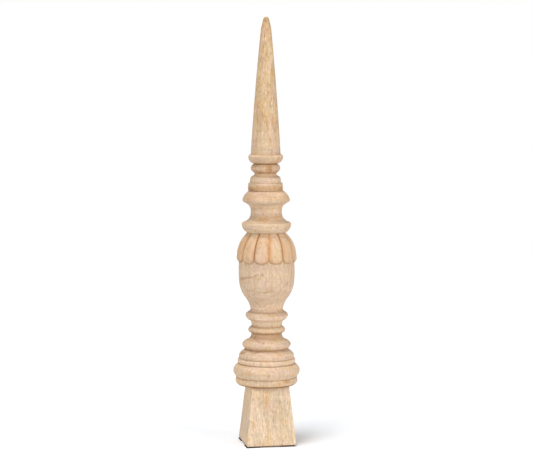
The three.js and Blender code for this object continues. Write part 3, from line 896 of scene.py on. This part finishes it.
def buildFinialTree(values):
    tree = newGeometryTree("carveFinial", values)
    start = addNode(tree, "NodeGroupInput")
    size = {name: Field(tree, start.outputs[inputLabel(name)]) for name in values if name != "wood"}
    drawn = start.outputs["Geometry"]
    counted = addNode(tree, "GeometryNodeAttributeDomainSize", {0: drawn})
    rowCount = Field(tree, counted.outputs["Point Count"])
    columns = size["count"] * size["columns"]
    grid = addNode(tree, "GeometryNodeMeshGrid", {"Vertices X": columns + 1, "Vertices Y": rowCount})
    index = Field(tree, addNode(tree, "GeometryNodeInputIndex").outputs[0])
    column = (index / rowCount).floor()
    row = index - column * rowCount

    def fromRow(value, kind):
        return addNode(tree, "GeometryNodeSampleIndex", {"Geometry": drawn, "Value": value, "Index": row},
                       data_type=kind).outputs[0]

    def rowValue(name):
        named = addNode(tree, "GeometryNodeInputNamedAttribute", {"Name": name}, data_type="FLOAT")
        return Field(tree, fromRow(named.outputs[0], "FLOAT"))

    position = addNode(tree, "GeometryNodeInputPosition").outputs[0]
    rowRadius, _, rowHeight = separate(tree, fromRow(position, "FLOAT_VECTOR"))
    square, twist, petalRow, down = (rowValue(name) for name in ("square", "twist", "petal", "down"))
    downPetal = down.atMost(1)
    upPetal = 1 - downPetal
    onPetal = down.below(1.0001)

    # columns, drawn together at the grooves between the petals
    fullTurn = 2 * math.pi
    petalPlace = column / size["columns"]
    petal = petalPlace.floor()
    evenly = petalPlace - petal
    fromGroove = evenly - (evenly * fullTurn).sin() * size["columnPull"] / fullTurn
    across = fromGroove - 0.5
    offMiddle = abs(across * 2)
    carvedAngle = size["turn"] - math.pi / 2 + (petal + fromGroove) * fullTurn / size["count"]
    nearLean = ((carvedAngle - size["leanAt"]).cos() + 1) / 2
    carvedAngle = carvedAngle + size["lean"] * nearLean ** size["leanPower"] * upPetal ** 2 * petalRow
    squareX, squareY, squareAngle = squarePlace(column, columns, rowRadius, size["edgeRadius"])
    angle = between(squareAngle, carvedAngle, twist)

    # each petal's own small differences, and the broad shallow groove near the front
    chance = addNode(tree, "FunctionNodeRandomValue",
                     {2: -1.0, 3: 1.0, "ID": petal.remainder(size["count"]), "Seed": size["seed"]},
                     data_type="FLOAT")
    ownChance = Field(tree, chance.outputs[1]) * (1 - offMiddle ** 4)
    shallow = petalPlace.pingPong(size["count"] / 2).fade(size["shallowReach"])

    # a petal from the lip down to its round end, then the plain bulb below it
    roundEnd = 1 - (1 - offMiddle ** size["endShape"]) ** (1 / size["endShape"])
    endHeight = size["tipEnd"] + size["cuspRise"] * roundEnd + ownChance * size["endVariation"]
    petalHeight = between(size["top"], endHeight, downPetal)
    skirtHeight = between(endHeight - size["endDrop"], rowHeight, down - 1)
    z = choose(petalRow, choose(onPetal, petalHeight, skirtHeight), rowHeight)
    rise = ((z - size["shoulder"]) / (size["formTop"] - size["shoulder"])).atLeast(0)
    ground = size["grooveRadius"] - size["drawnIn"] * rise ** size["drawnPower"]
    toSide = (0.5 - abs(across)) * ground * fullTurn / size["count"]
    toEnd = upPetal * (size["top"] - size["tipEnd"])
    proud = between(size["proudAtLip"], size["proud"], (down / size["fullFrom"]).atMost(1))
    side = toSide.soften(size["sideSoftness"] * (1 + shallow * size["shallowSoftness"]))
    pillow = proud * side + size["crown"] * (1 - offMiddle ** 2)
    pillow = pillow + proud * shallow * size["shallowRaised"] * (1 - side)
    rolled = between(size["endStep"], pillow, toEnd.soften(size["endSoftness"]))
    groove = size["grooveCut"] * toSide.fade(size["grooveHalfWidth"]) * (1 - shallow * size["shallowUncut"])
    carved = ground + pillow.atMost(rolled) - groove
    belowEnd = (endHeight - z).fade(size["underCutHeight"]) * size["underCut"]
    skirt = between(ground - belowEnd, rowRadius, (down - 1).atLeast(0) ** 2)
    radius = choose(petalRow, choose(onPetal, carved, skirt), rowRadius)

    # the surface is a little uneven where it was carved by hand, and truer where it was turned
    turnedPlace = combine(tree, radius * angle.cos(), radius * angle.sin(), z)
    uneven = noise(tree, turnedPlace, size["wobbleScale"])[0]
    reach = between(size["turnedWobble"], size["carvedWobble"], petalRow)
    radius = radius + (Field(tree, uneven) - 0.5) * reach * (radius / size["wobbleFullRadius"]).atMost(1)
    x = between(radius * angle.cos(), squareX, square) + rowValue("drift")
    y = between(radius * angle.sin(), squareY, square)
    stored = addNode(tree, "GeometryNodeSetPosition",
                     {"Geometry": grid.outputs["Mesh"], "Position": combine(tree, x, y, z)}).outputs[0]

    # painted shade, with some finish gathered there: the dark lines in the cuts, along the grooves and under
    # the petals' ends
    sideLine = toSide.fade(size["sideLineWidth"]) * (1 - shallow * size["shallowUnlined"]) * onPetal
    sideLine = sideLine * (size["sideLine"] + upPetal ** 2 * size["sideLineAtLip"])
    endLine = (z - endHeight).fade(size["endLineWidth"])
    endLine = endLine * (size["endLine"] + ownChance * size["endLineVaries"])
    crease = rowValue("rowCrease").atLeast(sideLine.atLeast(endLine) * petalRow)

    # painted shade beside them, in a warmer colour
    nearSide = toSide.fade(size["tintWidth"] * (1 + shallow * size["shallowTintWidth"]))
    nearGroove = nearSide.atLeast(toEnd.fade(size["tintWidth"]) * size["endTint"])
    fullTint = size["sideTint"] + shallow * size["shallowTint"]
    tint = between(size["leastTint"], fullTint, nearGroove) * petalRow * onPetal

    # painted light: a painted highlight along the foot's upright and bottom edges, and the pale bands, which
    # lighten where shade falls
    overBottom = z - foot["bottom"]
    toEdge = ((abs(x) - rowRadius) ** 2 + (abs(y) - rowRadius) ** 2) ** 0.5
    lowEdge = (overBottom - foot["bottomEase"] - foot["lowEdge"]).fade(foot["lowEdgeWidth"])
    worn = toEdge.fade(size["wornEdge"]).atLeast(lowEdge * foot["lowEdgeHighlight"]) * square
    worn = worn * (overBottom - foot["lowEdge"]).atLeast(0).atMost(1)
    worn = worn.atLeast(rowValue("rowPale"))
    for name, value in (("crease", crease), ("neck", rowValue("rowNeck")), ("carved", tint), ("worn", worn)):
        stored = addNode(tree, "GeometryNodeStoreNamedAttribute",
                         {"Geometry": stored, "Name": name, "Value": value}, data_type="FLOAT").outputs[0]

    # the seam at the back and the two poles are closed, and millimetres become metres
    closed = addNode(tree, "GeometryNodeMergeByDistance", {"Geometry": stored, "Distance": 0.002})
    scaled = addNode(tree, "GeometryNodeTransform",
                     {"Geometry": closed.outputs[0], "Scale": (millimetre, millimetre, millimetre)})
    smooth = addNode(tree, "GeometryNodeSetShadeSmooth", {"Geometry": scaled.outputs[0]})
    return endGeometryTree(tree, smooth.outputs[0], start.outputs["Wood"])


def carveFinial():
    values = {**petals, **unevenness, "wood": wood}
    values.update((name, foot[name]) for name in ("edgeRadius", "wornEdge"))
    rows = finialRows()
    print("finial rows", len(rows))
    piece = runTree(buildFinialTree(values), drawFinialProfile(rows), values, "finialCarved")
    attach(piece, "root")
    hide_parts("finial")


carveFinial()
print("finial carved")


# Felt pads

pads = {
    "side": 24, "cornerRadius": 1.6, "columns": 56,
    # how far the edge stands out at each height
    "edge": [(0.42, 0), (0.63, 0.2), (0.7, 0.6), (0.56, 1.2), (0.28, 1.7), (0, 2)],
    "leastTurn": math.radians(-1.2), "mostTurn": math.radians(1.2),
    "seed": 4,
    "dark": (0.006, 0.005, 0.004, 1), "light": (0.028, 0.022, 0.018, 1),
    "fluffScale": 2600, "clumpScale": 320,
}


def makeFelt():
    felt, tree = newMaterial("darkFelt")
    place = addNode(tree, "ShaderNodeTexCoord").outputs["Object"]
    fluff = noise(tree, place, pads["fluffScale"], 4, 0.7)["Fac"]
    clumps = noise(tree, place, pads["clumpScale"])["Fac"]
    lightness = stepped(tree, Field(tree, fluff) * 0.7 + Field(tree, clumps) * 0.3, 0.3, 0.7)
    bump = addNode(tree, "ShaderNodeBump", {"Height": fluff, "Strength": 0.6, "Distance": 0.0003})
    endMaterial(tree, {"Base Color": colourMix(tree, lightness, pads["dark"], pads["light"]),
                       "Roughness": 0.95, "Normal": bump.outputs[0], "Specular IOR Level": 0.1,
                       "Sheen Weight": 0.06, "Sheen Roughness": 0.5})
    return felt


# One pad as a closed slab with round corners and a soft edge, standing on the ground
def drawPad():
    half = pads["side"] / 2
    straight = half - pads["cornerRadius"]
    count = pads["columns"]
    outline = []
    for number in range(count):
        turn = 2 * math.pi * number / count
        direction = Vector((math.cos(turn), math.sin(turn)))
        edge = direction * (half / max(abs(direction.x), abs(direction.y)))
        inner = Vector([max(-straight, min(straight, value)) for value in edge])
        outline.append(inner + (edge - inner).normalized() * pads["cornerRadius"])
    points = []
    faces = []
    for out, z in pads["edge"]:
        points += [Vector((*(point * (1 + out / half)), z)) * millimetre for point in outline]
    for low in range(0, len(points) - count, count):
        for number in range(count):
            after = (number + 1) % count
            faces.append((low + number, low + after, low + count + after, low + count + number))
    faces.append(tuple(reversed(range(count))))
    faces.append(tuple(range(len(points) - count, len(points))))
    return addMesh("feltPad", points, faces=faces)


def buildPadTree(values):
    tree = newGeometryTree("setPads", values)
    start = addNode(tree, "NodeGroupInput")
    info = addNode(tree, "GeometryNodeObjectInfo", {"Object": start.outputs["Pad"]})
    least, most, seed = (start.outputs[label] for label in ("Least turn", "Most turn", "Seed"))
    turn = addNode(tree, "FunctionNodeRandomValue", {2: least, 3: most, "Seed": seed}, data_type="FLOAT")
    placed = addNode(tree, "GeometryNodeInstanceOnPoints",
                     {"Points": start.outputs["Geometry"], "Instance": info.outputs["Geometry"],
                      "Rotation": combine(tree, 0.0, 0.0, turn.outputs[1])})
    return endGeometryTree(tree, placed.outputs[0], start.outputs["Felt"])


def setPads():
    nodes = [name for name in sorted(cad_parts) if name.startswith("felt_pad")]
    corners = []
    for name in nodes:
        low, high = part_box(name)
        corners.append(((low.x + high.x) / 2, (low.y + high.y) / 2, 0))
    drawn = addMesh("padCorners", corners)
    pad = drawPad()
    values = {"pad": pad, "leastTurn": pads["leastTurn"], "mostTurn": pads["mostTurn"], "seed": pads["seed"],
              "felt": makeFelt()}
    piece = runTree(buildPadTree(values), drawn, values, "feltPads")
    bpy.data.objects.remove(pad)
    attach(piece, "root")
    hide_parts(*nodes)


setPads()
print("pads set")


# Floor, lights and the white surroundings

studio = {
    "floorRadius": 3000, "floorCorners": 96,
    "floorColour": (0.885, 0.90, 0.92, 1),
    "ambient": 0.48,
    # where each light stands from the camera's side: azimuth, elevation, strength and how wide it is
    "lights": {
        "keyLight": (-44, 76, 1.54, 20), "leftLight": (-30, 24, 1.0, 34),
        "rightLight": (50, 16, 1.39, 30), "backLight": (170, 35, 0.12, 60)},
}
white = (1, 1, 1, 1)


def makeFloor(size):
    count = size["floorCorners"]
    turns = [2 * math.pi * number / count for number in range(count)]
    radius = size["floorRadius"] * millimetre
    ring = [(radius * math.cos(turn), radius * math.sin(turn), 0) for turn in turns]
    floor = addMesh("floor", ring, faces=[tuple(range(count))])
    paint, tree = newMaterial("paleFloor")
    endMaterial(tree, {"Base Color": size["floorColour"], "Roughness": 0.9, "Specular IOR Level": 0.0})
    floor.data.materials.append(paint)


def makeSun(name, azimuth, elevation, strength, angle):
    data = bpy.data.lights.new(name, "SUN")
    data.energy = strength
    data.angle = math.radians(angle)
    sun = addObject(name, data)
    sun.rotation_euler = (-pointAround(azimuth, elevation)).to_track_quat("-Z", "Y").to_euler()


# The camera sees plain white, and the object gets a softer light from it
def makeWorld(size):
    world = bpy.data.worlds.new("studio")
    scene.world = world
    world.use_nodes = True
    tree = world.node_tree
    tree.nodes.clear()
    seen = addNode(tree, "ShaderNodeBackground", {"Color": white, "Strength": 1.0})
    ambient = addNode(tree, "ShaderNodeBackground", {"Color": white, "Strength": size["ambient"]})
    path = addNode(tree, "ShaderNodeLightPath")
    mixed = addNode(tree, "ShaderNodeMixShader",
                    {0: path.outputs["Is Camera Ray"], 1: ambient.outputs[0], 2: seen.outputs[0]})
    addNode(tree, "ShaderNodeOutputWorld", {"Surface": mixed.outputs[0]})


makeFloor(studio)
for name, (azimuth, elevation, strength, angle) in studio["lights"].items():
    makeSun(name, photoView["azimuth"] + azimuth, elevation, strength, angle)
makeWorld(studio)
print("studio lit")
